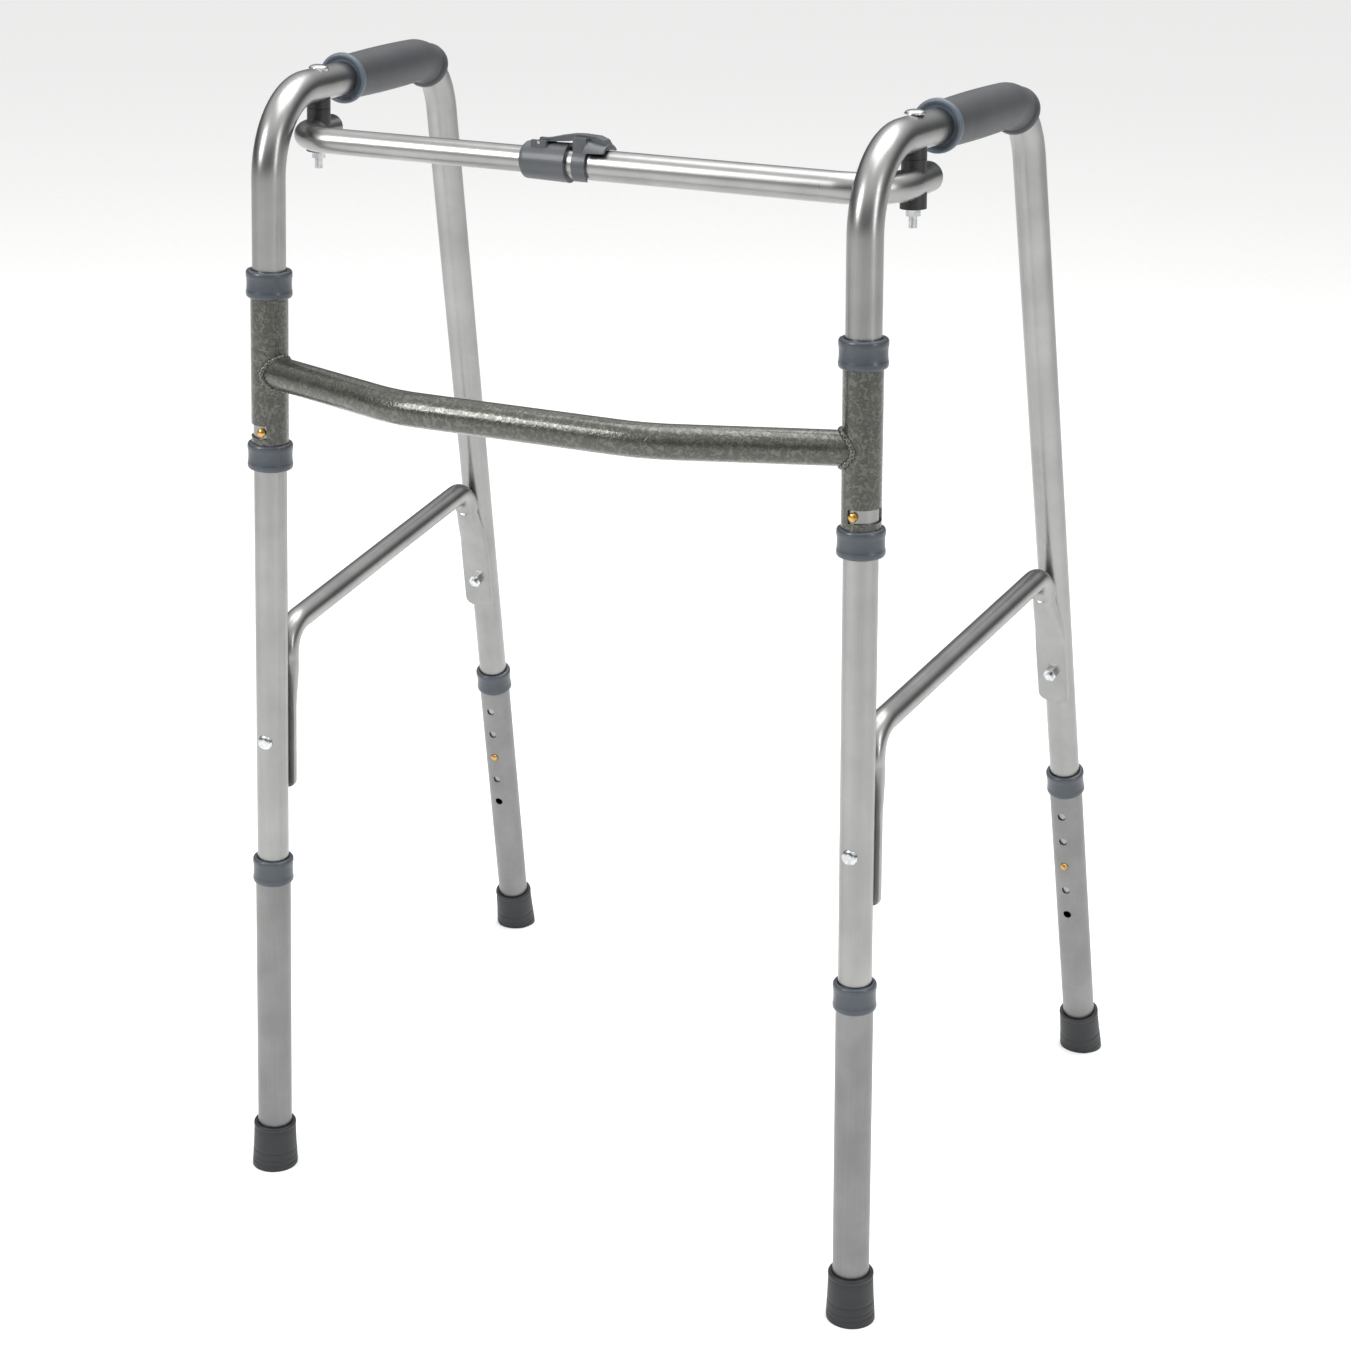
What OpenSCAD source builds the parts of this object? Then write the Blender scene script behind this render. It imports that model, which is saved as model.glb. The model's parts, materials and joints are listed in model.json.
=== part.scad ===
// Folding walking frame. Millimetres, +Z up, the user stands on the +Y side,
// the front brace faces -Y and +X is the right-hand side seen from the front.
// Each side frame is drawn in its own plane (Y to the rear, Z up the front leg)
// and then splayed, toed out and placed; the left one is the mirror image.

/* [Frame] */
// Distance between the two front leg axes at 900 mm above the floor
leg_spacing = 468; // [420:1:520]
// How far each front leg runs outwards between 900 mm and the floor
splay = 28.9; // [0:0.1:45]
// How far each side frame opens outwards over 450 mm of depth
toe_out = 32.7; // [0:0.1:50]
// Distance from front leg axis to rear leg axis on the floor
foot_depth = 516.6; // [440:0.1:560]
// Forward lean of the rear legs, mm per mm of height
rear_lean = 0.251; // [0.1:0.001:0.35]
// Height of the top run of the side tube
top_height = 900.5; // [820:0.5:960]

/* [Tubes] */
// Outside diameter of the side frame tube
tube_od = 25.4; // [22:0.1:30]
// Wall of the side frame tube
tube_wall = 1.5; // [1:0.1:2.5]
// Centreline radius of the side tube bends
bend_r = 60; // [45:1:90]
// Outside diameter of the leg extension tubes
ext_od = 28.4; // [26:0.1:34]
// Outside diameter of the brace sleeves
sleeve_od = 28.6; // [27:0.1:34]
// Outside diameter of the side brace tube
side_brace_od = 19; // [14:0.5:24]
// Outside diameter of the thick tube of the folding bar
bar_thick_od = 22.2; // [20:0.1:26]
// Outside diameter of the thin tube of the folding bar
bar_thin_od = 19.0; // [16:0.1:22]

/* [Height adjustment] */
// Distance between neighbouring adjusting holes
hole_pitch = 27; // [20:0.5:30]
// Number of adjusting holes in each extension
hole_count = 5; // [3:1:9]
// Height of the front adjusting button above the floor
front_button = 191.6; // [150:0.5:240]
// Distance of the rear adjusting button from the floor along the leg
rear_button = 216.3; // [170:0.5:260]

/* [Front brace] */
// Height of the lower sleeve collar, centre
low_collar = 628; // [560:1:680]
// Height of the upper sleeve collar, centre
top_collar = 762; // [700:1:800]
// Height of the crossbar axis
crossbar_z = 694; // [640:1:730]
// Half distance between the crossbar bends
crossbar_half = 100; // [60:1:160]

/* [Folding bar] */
// Height of the bar axis
bar_z = 866; // [850:0.5:880]
// Distance of the bar pivots behind the front leg axis
pivot_back = 80; // [60:1:110]
// Position of the bar's straight run along Y
bar_y = 34; // [24:0.5:45]

/* [Grips] */
// Position of the front end of each grip behind the front leg axis
grip_front = 117; // [95:1:150]
// Largest diameter of the grip flange
grip_flange = 39; // [34:0.5:46]

/* [Hidden] */
$fn = 32;
tr = tube_od/2;
ti = tr - tube_wall;
er = ext_od/2;
sr = sleeve_od/2;
run = tr + 0.2;
tilt = atan(splay/900);
toe = atan(toe_out/450);
lean = atan(rear_lean);
c1 = [bend_r, top_height - bend_r];
c2 = [foot_depth - rear_lean*(c1[1] + bend_r*sin(lean)) - bend_r*cos(lean), c1[1]];
p3 = [c2[0] + bend_r*cos(lean), c2[1] + bend_r*sin(lean)];
rear_len = p3[1]/cos(lean);
base_x = leg_spacing/2 + splay;
crossbar_end = leg_spacing/2 + splay*(900 - crossbar_z)/900;
crossbar_turn = 20.6097;
crossbar_bow = (crossbar_end - crossbar_half)*tan(crossbar_turn);
yshift = -((foot_depth + 19)*cos(toe) - (crossbar_bow + tr))/2;

// ---------- placing ----------
// s = 1 right side, s = -1 left side
module side(s) {
  translate([0, yshift, 0]) mirror([s < 0 ? 1 : 0, 0, 0])
    translate([base_x, 0, 0]) rotate([0, -tilt, 0]) rotate([0, 0, -toe]) children();
}
// the brace sleeves are splayed but not toed out
module upright(s) {
  translate([0, yshift, 0]) mirror([s < 0 ? 1 : 0, 0, 0])
    translate([base_x, 0, 0]) rotate([0, -tilt, 0]) children();
}
// rear leg coordinates: Z up the leg, -Y towards the front
module rear_leg() { translate([0, foot_depth, 0]) rotate([lean, 0, 0]) children(); }
// a round section swept along an arc in the side frame plane
module arc(c, R, r, a0, a1) {
  translate([0, c[0], c[1]]) rotate([90, 0, 90]) rotate([0, 0, a0])
    rotate_extrude(angle = a1 - a0) translate([R, 0]) circle(r);
}
// centreline of the whole side tube; the straights run 1 mm into the bends, which swell a little
swell = 0.25;
hair = 0.02;
module side_path(r, low_front, low_rear) {
  translate([0, 0, low_front]) cylinder(h = c1[1] + 1 - low_front, r = r);
  translate([0, bend_r, c1[1]]) {
    rotate([90, 0, 90]) rotate([0, 0, 90]) rotate_extrude(angle = 90) translate([bend_r, 0]) circle(r + swell);
    translate([0, -1, bend_r]) rotate([-90, 0, 0]) cylinder(h = c2[0] - c1[0] + 2, r = r);
    translate([0, c2[0] - c1[0], 0]) {
      rotate([90, 0, 90]) rotate([0, 0, lean]) rotate_extrude(angle = 90 - lean) translate([bend_r, 0]) circle(r + swell);
      rotate([lean - 90, 0, 0]) translate([0, -1, bend_r]) rotate([-90, 0, 0]) cylinder(h = rear_len - low_rear + 1, r = r);
    }
  }
}
module floor_cut() { translate([-600, -600, -60]) cube([1200, 1200, 60]); }
module dome(r, h, seat = 0) {
  // a low domed head standing on z = 0, seat reaches below it
  rotate_extrude() polygon([[0, -seat], [r, -seat], [r, 0.2*h], [0.94*r, 0.5*h], [0.78*r, 0.74*h], [0.52*r, 0.91*h], [0.24*r, 0.985*h], [0, h]]);
}

// ---------- front brace ----------
module sleeve_slot() {
  // quarter-turn slot for the folding button, from the front round to the outside
  translate([0, 0, low_collar + 15.5]) rotate([0, 0, -90 - 17 - toe])
    rotate_extrude(angle = 130) translate([9, 0]) square([8, 10]);
}
module brace_sleeve(s) color("DimGray") upright(s) difference() {
  translate([0, 0, low_collar - 5]) cylinder(h = top_collar - low_collar + 10, r = sr);
  translate([0, 0, low_collar - 6]) cylinder(h = top_collar - low_collar + 12, r = run);
  sleeve_slot();
}
module crossbar_half_path(r) {
  R = 120;
  xs = crossbar_half - R*tan(crossbar_turn/2);
  len = (crossbar_end - crossbar_half)/cos(crossbar_turn) - R*tan(crossbar_turn/2);
  translate([0, -R, 0]) rotate([0, 90, 0]) translate([0, 0, -xs]) cylinder(h = xs, r = r);
  rotate([0, 0, -90]) rotate_extrude(angle = crossbar_turn) translate([R, 0]) circle(r);
  rotate([0, 0, crossbar_turn]) translate([0, -R, 0]) rotate([0, 90, 0]) cylinder(h = len, r = r);
}
module brace_crossbar() color("DimGray") translate([0, yshift, 0]) for (m = [0, 1]) mirror([m, 0, 0]) difference() {
  xs = crossbar_half - 120*tan(crossbar_turn/2);
  translate([xs, 120 - crossbar_bow, crossbar_z]) difference() { crossbar_half_path(tr); crossbar_half_path(tr - 1.5); }
  translate([base_x, 0, 0]) rotate([0, -tilt, 0]) translate([0, 0, 500]) cylinder(h = 400, r = sr);
}
module ring_collar(od, h, bore_big, bore_small, lip) {
  // collar with rounded rims; the lip at the top runs on the inner tube
  o = od/2;
  difference() {
    rotate_extrude() polygon([[bore_small, 0], [o - 2.2, 0], [o - 0.6, 1], [o, 3], [o, h - 3], [o - 0.6, h - 1], [o - 2.2, h], [bore_small, h]]);
    translate([0, 0, -1]) cylinder(h = h - lip + 1, r = bore_big);
  }
}
module brace_collar(s, up) color("SlateGray") upright(s)
  translate([0, 0, up ? top_collar - 10.5 : low_collar + 10.5]) mirror([0, 0, up ? 0 : 1])
    ring_collar(35, 21, sr, tr + 0.15, 5.5);

// ---------- side frames ----------
module height_holes(y0, n, z0) {
  for (i = [0:n - 1]) translate([0, 0, z0 + (i - (n - 1)/2)*hole_pitch])
    rotate([y0 > 0 ? -90 : 90, 0, 0]) translate([0, 0, 6]) cylinder(h = 14, r = 3.7, $fn = 24);
}
module side_tube(s) color("Silver") side(s) difference() {
  side_path(tr, front_button - 40, rear_button - 40);
  side_path(ti, front_button - 41, rear_button - 41);
  height_holes(1, 1, front_button);
  rear_leg() height_holes(-1, 1, rear_button);
  translate([0, 0, low_collar + 20.5]) rotate([90, 0, 0]) translate([0, 0, 6]) cylinder(h = 14, r = 3.7, $fn = 24);
  translate([0, -30, 392]) rotate([-90, 0, 0]) cylinder(h = 60, r = 3.2, $fn = 24);
  rear_leg() translate([0, -30, 424]) rotate([-90, 0, 0]) cylinder(h = 60, r = 3.2, $fn = 24);
  translate([0, pivot_back, top_height - 30]) cylinder(h = 60, r = 3.2, $fn = 24);
}
// grip axis: straight along the top run, then 30 degrees round the rear bend
module grip_path(r, len, turn) {
  translate([0, -len, bend_r]) rotate([-90, 0, 0]) cylinder(h = len + 1, r = r);
  rotate([90, 0, 90]) rotate([0, 0, 90 - turn]) rotate_extrude(angle = turn) translate([bend_r, 0]) circle(r + swell);
}
module grip(s) color("DarkSlateGray") side(s) translate([0, c2[0], c2[1]]) {
  len = c2[0] - grip_front;
  f = grip_flange/2;
  difference() {
    union() {
      translate([0, -len, bend_r]) rotate([-90, 0, 0]) rotate_extrude()
        polygon([[0, 0], [f - 1.5, 0], [f, 1.5], [f, 5.5], [f - 1, 7], [16.6, 13], [17.4, len], [17.4, len + 1], [0, len + 1]]);
      rotate([90, 0, 90]) rotate([0, 0, 60]) rotate_extrude(angle = 30) translate([bend_r, 0]) circle(17.45);
      rotate([-30, 0, 0]) translate([0, -5, bend_r]) rotate([-90, 0, 0]) rotate_extrude()
        polygon([[0, 0], [17.6, 0], [18.6, 1.5], [18.6, 5], [17, 6.6], [0, 6.6]]);
    }
    grip_path(tr, len + 20, 60);
  }
}
// flattened tube end, drawn flat against y = 0, tongue towards -Z
module tongue(len) {
  translate([-13.5, 0, -len]) cube([27, 4.2, len]);
}
brace_R = 26;
brace_rise = 4.349;
// lower end of the rear bend, in the side frame plane and then in rear leg coordinates
brace_q = [49 + 298*cos(brace_rise) + brace_R*cos(lean), 454 + 298*sin(brace_rise) + brace_R*sin(lean)];
rear_s = -(brace_q[0] - foot_depth)*sin(lean) + brace_q[1]*cos(lean);
rear_off = (brace_q[0] - foot_depth)*cos(lean) + brace_q[1]*sin(lean);
module brace_path(r, ov) {
  run_len = 298;
  translate([0, 49, 454]) {
    rotate([90, 0, 90]) rotate([0, 0, 90 + brace_rise]) rotate_extrude(angle = 90 - brace_rise) translate([brace_R, 0]) circle(r + swell);
    translate([0, -brace_R, -ov]) cylinder(h = ov + 1, r = r);
    rotate([brace_rise, 0, 0]) {
      translate([0, -1, brace_R]) rotate([-90, 0, 0]) cylinder(h = run_len + 2, r = r);
      translate([0, run_len, 0]) {
        rotate([90, 0, 90]) rotate([0, 0, lean - brace_rise]) rotate_extrude(angle = 90 + brace_rise - lean) translate([brace_R, 0]) circle(r + swell);
        rotate([lean - brace_rise - 90, 0, 0]) translate([0, -1, brace_R]) rotate([-90, 0, 0]) cylinder(h = ov + 1, r = r);
      }
    }
  }
}
module side_brace(s) color("Silver") side(s) difference() {
  union() {
    brace_path(side_brace_od/2, 2);
    hull() {
      translate([-13.5, tr, 444]) cube([27, 4.2, 1]);
      translate([0, 23, 453]) cylinder(h = 0.8, r = side_brace_od/2 + 0.14, $fn = 24);
    }
    translate([0, tr, 445]) tongue(100);
    rear_leg() {
      hull() {
        translate([-13.5, -tr - 4.2, 496]) cube([27, 4.2, 1]);
        translate([0, rear_off, rear_s - 1.2]) cylinder(h = 0.8, r = side_brace_od/2 + 0.14, $fn = 24);
      }
      translate([0, -tr - 4.2, 497]) tongue(102);
    }
  }
  brace_path(side_brace_od/2 - 1.5, 0);
  translate([0, -30, 392]) rotate([-90, 0, 0]) cylinder(h = 60, r = 3.2, $fn = 24);
  rear_leg() translate([0, -30, 424]) rotate([-90, 0, 0]) cylinder(h = 60, r = 3.2, $fn = 24);
}
module cross_bolt() {
  // dome head on -Y, shank to +Y
  difference() {
    rotate([90, 0, 0]) translate([0, 0, tr - 1.2]) dome(6.2, 3.4, 3);
    translate([0, 0, -20]) cylinder(h = 40, r = tr);
  }
  translate([0, -tr - 1, 0]) rotate([-90, 0, 0]) cylinder(h = 2*tr + 13, r = 3, $fn = 24);
}
module cross_nut() {
  translate([0, tr + 4.2, 0]) rotate([-90, 0, 0]) difference() {
    cylinder(h = 5, r = 5.8, $fn = 6);
    translate([0, 0, -1]) cylinder(h = 7, r = 3, $fn = 24);
  }
}
module brace_bolts(s) color("Gainsboro") side(s) {
  translate([0, 0, 392]) cross_bolt();
  rear_leg() translate([0, 0, 424]) rotate([0, 0, 180]) cross_bolt();
}
module brace_nuts(s) color("Gainsboro") side(s) {
  translate([0, 0, 392]) cross_nut();
  rear_leg() translate([0, 0, 424]) rotate([0, 0, 180]) cross_nut();
}
// snap button pointing along -Y and its leaf spring inside the tube
module snap_button(reach) {
  rotate([90, 0, 0]) rotate_extrude()
    polygon([[0, 8.9], [4.2, 8.9], [4.2, 10.1], [3.4, 10.1], [3.4, reach - 2], [2.9, reach - 0.9], [1.7, reach - 0.2], [0, reach]]);
}
module snap_spring() {
  translate([-3, 0, 0]) rotate([90, 0, 90]) linear_extrude(6)
    polygon([[-8.6, -8], [-7.8, -8], [-7.8, 8], [0.6, 44], [9.4, 8], [10.2, 8], [1, 46.5], [0, 46.5], [-8.6, 8.2]]);
}
module fold_button(s) color("Goldenrod") side(s) translate([0, 0, low_collar + 20.5]) snap_button(16.6);
module fold_spring(s) color("Silver") side(s) translate([0, 0, low_collar + 20.5]) snap_spring();
module height_button(s, front) color("Goldenrod") side(s)
  if (front) translate([0, 0, front_button]) rotate([0, 0, 180]) snap_button(16.4);
  else rear_leg() translate([0, 0, rear_button]) snap_button(16.4);
module height_spring(s, front) color("Silver") side(s)
  if (front) translate([0, 0, front_button]) rotate([0, 0, 180]) snap_spring();
  else rear_leg() translate([0, 0, rear_button]) snap_spring();

// ---------- leg extensions ----------
module ext_body(z1) {
  difference() {
    translate([0, 0, 11]) cylinder(h = z1 + 85.4 + 5 - 11, r = er);
    translate([0, 0, 10]) cylinder(h = z1 + 90, r = run);
  }
}
module extension(s, front) color("Silver") side(s)
  if (front) difference() { ext_body(front_button); height_holes(1, hole_count, front_button); }
  else rear_leg() difference() { ext_body(rear_button); height_holes(-1, hole_count, rear_button); }
module extension_collar(s, front) color("SlateGray") side(s)
  if (front) translate([0, 0, front_button + 85.4 - 11]) ring_collar(33, 22, er, tr + 0.15, 6);
  else rear_leg() translate([0, 0, rear_button + 85.4 - 11]) ring_collar(33, 22, er, tr + 0.15, 6);
module ferrule_body() {
  difference() {
    rotate_extrude() polygon([[0, -8], [18, -8], [19, -6], [19, 5], [18.4, 9], [17.4, 40], [16.6, 41], [0, 41]]);
    translate([0, 0, 11]) cylinder(h = 40, r = er);
  }
}
module ferrule(s, front) color("Black") difference() {
  side(s) if (front) ferrule_body(); else rear_leg() ferrule_body();
  floor_cut();
}

// ---------- folding bar ----------
// bar arms end beside the pivots; the bar is drawn in world directions
pivot_x = leg_spacing/2 + splay*(900 - bar_z)/900 + pivot_back*sin(toe);
pivot_y = pivot_back*cos(toe);
bar_R = 40;
module bar_end(r, xin, reach) {
  // straight run from xin to the bend, quarter bend, arm back past the pivot (right side)
  translate([xin, bar_y, bar_z]) rotate([0, 90, 0]) cylinder(h = pivot_x - bar_R - xin + 1, r = r);
  translate([pivot_x - bar_R, bar_y + bar_R, bar_z]) rotate([0, 0, -90]) rotate_extrude(angle = 90) translate([bar_R, 0]) circle(r + hair);
  translate([pivot_x, bar_y + bar_R - 1, bar_z]) rotate([-90, 0, 0]) cylinder(h = pivot_y + reach - bar_y - bar_R + 1, r = r);
}
module bar_bore(s) { side(s) translate([0, pivot_back, bar_z - 30]) cylinder(h = 60, r = s > 0 ? 3.6 : 3.2, $fn = 24); }
module bar_tube_thick() color("Silver") difference() {
  translate([0, yshift, 0]) bar_end(bar_thick_od/2, -36, 30);
  translate([0, yshift, 0]) bar_end(bar_thick_od/2 - 1.5, -37, 31);
  bar_bore(1);
}
module bar_tube_thin() color("Silver") difference() {
  translate([0, yshift, 0]) mirror([1, 0, 0]) bar_end(bar_thin_od/2, -8, 19);
  translate([0, yshift, 0]) mirror([1, 0, 0]) bar_end(bar_thin_od/2 - 1.5, -9, 20);
  bar_bore(-1);
}
module bar_cap(s) color("Silver") translate([0, yshift, 0]) mirror([s < 0 ? 1 : 0, 0, 0]) {
  r = (s > 0 ? bar_thick_od : bar_thin_od)/2;
  reach = s > 0 ? 30 : 19;
  translate([pivot_x, pivot_y + reach, bar_z]) rotate([-90, 0, 0]) {
    dome(r, 4.2);
    translate([0, 0, -10]) cylinder(h = 10, r = r - 1.5);
  }
}
module bar_plug() color("Black") translate([-60, yshift + bar_y, bar_z]) rotate([0, 90, 0]) cylinder(h = 14, r = bar_thin_od/2 - 1.8);
module along_bar(x) { translate([x, yshift + bar_y, bar_z]) rotate([0, 90, 0]) children(); }
module clip_sleeve() color("DimGray") difference() {
  union() {
    along_bar(-38.5) rotate_extrude() polygon([[9.7, 0], [11.6, 0], [13.2, 1.8], [13.5, 3.5], [14.2, 36.5], [9.7, 36.5]]);
    translate([-30, yshift + bar_y - 9, bar_z]) cube([12, 18, 15.5]);
  }
  along_bar(-36) cylinder(h = 60, r = bar_thick_od/2);
  along_bar(-60) cylinder(h = 60, r = bar_thin_od/2 + 0.2);
  translate([-31, yshift + bar_y - 5.3, bar_z + 12.4]) cube([14, 10.6, 5]);
  translate([-24, yshift + bar_y - 12, bar_z + 14]) rotate([-90, 0, 0]) cylinder(h = 24, r = 1.25, $fn = 24);
}
module clip_lever() color("DimGray") difference() {
  union() {
    translate([0, yshift + bar_y + 5, bar_z]) rotate([90, 0, 0]) linear_extrude(10)
      polygon([[-28, 14.4], [-25, 15.9], [-20, 16.6], [-10, 19], [0, 20.8], [8, 21.2], [20, 20.6], [26, 18.4], [28.5, 14.6], [28.8, 11.6], [25.5, 11.6], [23, 15], [14.5, 17], [4, 17], [-2, 16], [-22, 14.4], [-22, 13.2], [-26, 13.2]]);
    // jaw that snaps round the thick tube
    difference() {
      union() {
        along_bar(4) cylinder(h = 10.5, r = 13.6);
        translate([4, yshift + bar_y - 10, bar_z + 8]) cube([10.5, 20, 11.6]);
      }
      along_bar(3) cylinder(h = 14, r = bar_thick_od/2 + 0.1);
      translate([3, yshift + bar_y - 7, bar_z - 20]) cube([14, 14, 13]);
    }
    // thumb tab
    difference() {
      along_bar(14.5) cylinder(h = 14, r1 = 18.4, r2 = 15.6);
      along_bar(14) cylinder(h = 16, r1 = 14.6, r2 = 13.2);
      translate([10, yshift + bar_y - 30, bar_z - 30]) cube([30, 60, 40]);
    }
  }
  along_bar(-40) cylinder(h = 39.5, r = 14.4);
  along_bar(-40) cylinder(h = 90, r = bar_thick_od/2 + 0.1);
  translate([-24, yshift + bar_y - 12, bar_z + 14]) rotate([-90, 0, 0]) cylinder(h = 24, r = 1.4, $fn = 24);
}
module clip_pin() color("Gainsboro") translate([-24, yshift + bar_y - 8.8, bar_z + 14]) rotate([-90, 0, 0]) cylinder(h = 17.6, r = 1.25, $fn = 24);

// ---------- bar pivots ----------
tube_low = top_height - tr;
split_z = (tube_low + bar_z + bar_thick_od/2)/2 + 0.4;
module pivot_head() {
  difference() {
    translate([0, pivot_back, top_height + tr - 1.2]) dome(7.5, 3.4, 3);
    side_path(tr, 300, 700);
  }
}
module pivot_bolt_right() color("Gainsboro") side(1) {
  // this bolt turns in the side tube, so its head clears the tube instead of following it
  translate([0, pivot_back, top_height + tr + 0.15]) dome(7.5, 3.4);
  translate([0, pivot_back, bar_z - 31]) cylinder(h = top_height + tr + 1 - bar_z + 31, r = 3, $fn = 24);
}
module pivot_bolt_left() color("Gainsboro") side(-1) {
  pivot_head();
  translate([0, pivot_back, split_z + 0.15]) cylinder(h = top_height + tr + 1 - split_z, r = 3, $fn = 24);
}
module pivot_stud_left() color("Gainsboro") side(-1)
  translate([0, pivot_back, bar_z - 29]) cylinder(h = split_z - 0.15 - bar_z + 29, r = 3, $fn = 24);
module pivot_nut(s) color("Gainsboro") side(s)
  translate([0, pivot_back, bar_z - (s > 0 ? 22.6 : 21)]) difference() {
    cylinder(h = 5, r = 5.8, $fn = 6);
    translate([0, 0, -1]) cylinder(h = 7, r = 3, $fn = 24);
  }
module saddle_upper(s) color("Black") side(s) difference() {
  translate([0, pivot_back, split_z + 0.15]) cylinder(h = 12, r = 9);
  translate([0, pivot_back, split_z - 1]) cylinder(h = 30, r = 3.1, $fn = 24);
  side_path(tr, 300, 700);
}
module saddle_lower(s) color("Black") difference() {
  side(s) difference() {
    translate([0, pivot_back, bar_z + 3]) cylinder(h = split_z - 0.15 - bar_z - 3, r = 9);
    translate([0, pivot_back, bar_z]) cylinder(h = 30, r = s > 0 ? 3.6 : 3, $fn = 24);
  }
  translate([0, yshift, 0]) mirror([s < 0 ? 1 : 0, 0, 0]) bar_end((s > 0 ? bar_thick_od : bar_thin_od)/2, 100, 40);
}
module bar_washer(s) color("Black") difference() {
  side(s) difference() {
    translate([0, pivot_back, bar_z - (s > 0 ? 17.5 : 16)]) cylinder(h = 12, r = 9.5);
    translate([0, pivot_back, bar_z - 30]) cylinder(h = 40, r = s > 0 ? 3.6 : 3, $fn = 24);
  }
  translate([0, yshift, 0]) mirror([s < 0 ? 1 : 0, 0, 0]) bar_end((s > 0 ? bar_thick_od : bar_thin_od)/2, 100, 40);
}

brace_sleeve(-1);  // brace_sleeve_left
brace_sleeve(1);  // brace_sleeve_right
brace_crossbar();
brace_collar(-1, true);  // brace_collar_upper_left
brace_collar(1, true);  // brace_collar_upper_right
brace_collar(-1, false);  // brace_collar_lower_left
brace_collar(1, false);  // brace_collar_lower_right
side_tube(-1);  // side_tube_left
side_tube(1);  // side_tube_right
grip(-1);  // grip_left
grip(1);  // grip_right
side_brace(-1);  // side_brace_left
side_brace(1);  // side_brace_right
brace_bolts(-1);  // brace_bolts_left
brace_bolts(1);  // brace_bolts_right
brace_nuts(-1);  // brace_nuts_left
brace_nuts(1);  // brace_nuts_right
fold_button(-1);  // fold_button_left
fold_button(1);  // fold_button_right
fold_spring(-1);  // fold_spring_left
fold_spring(1);  // fold_spring_right
extension(-1, true);  // extension_front_left
extension(1, true);  // extension_front_right
extension(-1, false);  // extension_rear_left
extension(1, false);  // extension_rear_right
extension_collar(-1, true);  // extension_collar_front_left
extension_collar(1, true);  // extension_collar_front_right
extension_collar(-1, false);  // extension_collar_rear_left
extension_collar(1, false);  // extension_collar_rear_right
ferrule(-1, true);  // ferrule_front_left
ferrule(1, true);  // ferrule_front_right
ferrule(-1, false);  // ferrule_rear_left
ferrule(1, false);  // ferrule_rear_right
height_button(-1, true);  // height_button_front_left
height_button(1, true);  // height_button_front_right
height_button(-1, false);  // height_button_rear_left
height_button(1, false);  // height_button_rear_right
height_spring(-1, true);  // height_spring_front_left
height_spring(1, true);  // height_spring_front_right
height_spring(-1, false);  // height_spring_rear_left
height_spring(1, false);  // height_spring_rear_right
bar_tube_thin();
bar_tube_thick();
bar_cap(-1);  // bar_cap_left
bar_cap(1);  // bar_cap_right
bar_plug();
clip_sleeve();
clip_lever();
clip_pin();
pivot_bolt_right();
pivot_nut(1);  // pivot_nut_right
pivot_bolt_left();
pivot_stud_left();
pivot_nut(-1);  // pivot_nut_left
saddle_upper(-1);  // saddle_upper_left
saddle_upper(1);  // saddle_upper_right
saddle_lower(-1);  // saddle_lower_left
saddle_lower(1);  // saddle_lower_right
bar_washer(-1);  // bar_washer_left
bar_washer(1);  // bar_washer_right
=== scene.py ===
import bpy, bmesh, json, math
import numpy as np
from mathutils import Matrix, Vector


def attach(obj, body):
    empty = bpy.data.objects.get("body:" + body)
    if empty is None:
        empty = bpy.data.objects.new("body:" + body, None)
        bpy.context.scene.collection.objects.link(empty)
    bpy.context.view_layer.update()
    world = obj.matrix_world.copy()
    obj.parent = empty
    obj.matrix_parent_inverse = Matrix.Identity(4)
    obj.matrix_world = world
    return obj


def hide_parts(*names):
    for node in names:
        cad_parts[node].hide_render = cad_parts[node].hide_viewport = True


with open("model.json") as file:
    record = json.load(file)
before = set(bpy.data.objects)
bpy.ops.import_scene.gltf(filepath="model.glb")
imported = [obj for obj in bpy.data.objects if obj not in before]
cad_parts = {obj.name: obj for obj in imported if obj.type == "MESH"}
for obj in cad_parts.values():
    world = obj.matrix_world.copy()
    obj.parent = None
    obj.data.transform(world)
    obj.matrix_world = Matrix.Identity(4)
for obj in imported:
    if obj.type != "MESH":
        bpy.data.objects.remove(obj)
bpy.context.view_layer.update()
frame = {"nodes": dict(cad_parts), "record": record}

scene = bpy.context.scene

# ---------- sizes of the frame, in millimetres ----------
LEG_RISE = 900  # height over which the splay is given
SPACING = 468.0  # between the front leg axes at that height
SPLAY = 28.9  # how far a front leg runs outwards from there to the floor
TOE_OUT = 32.7  # how far a side frame opens outwards over TOE_DEPTH
TOE_DEPTH = 450
DEPTH = 516.6  # front leg axis to rear leg axis on the floor
LEAN_RATE = 0.251  # forward lean of the rear legs for each millimetre of height
TOP = 900.5  # axis of the top run
TUBE = 12.7  # outside radius of the side frame tube and the crossbar
TUBE_WALL = 1.5
BEND = 60.0  # centre line radius of the side frame bends
SLEEVE = 14.3  # outside radius of the brace sleeves
FOOT = 19.0  # radius of a rubber foot
FRONT_BUTTON = 191.6  # height button above the floor, along the front leg
REAR_BUTTON = 216.3  # the same along the rear leg
BELOW_BUTTON = 40  # the side frame tube ends this far below the button
BAR_Z = 866.0  # axis of the folding bar
BAR_Y = 34.0  # its straight run, behind the front leg line
PIVOT_BACK = 80.0  # its pivots, behind the front leg axis
CROSS_Z = 694.0  # axis of the crossbar
CROSS_HALF = 100.0  # half distance between its bends
CROSS_TURN = math.radians(20.6097)  # turn of each of its bends

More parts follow.
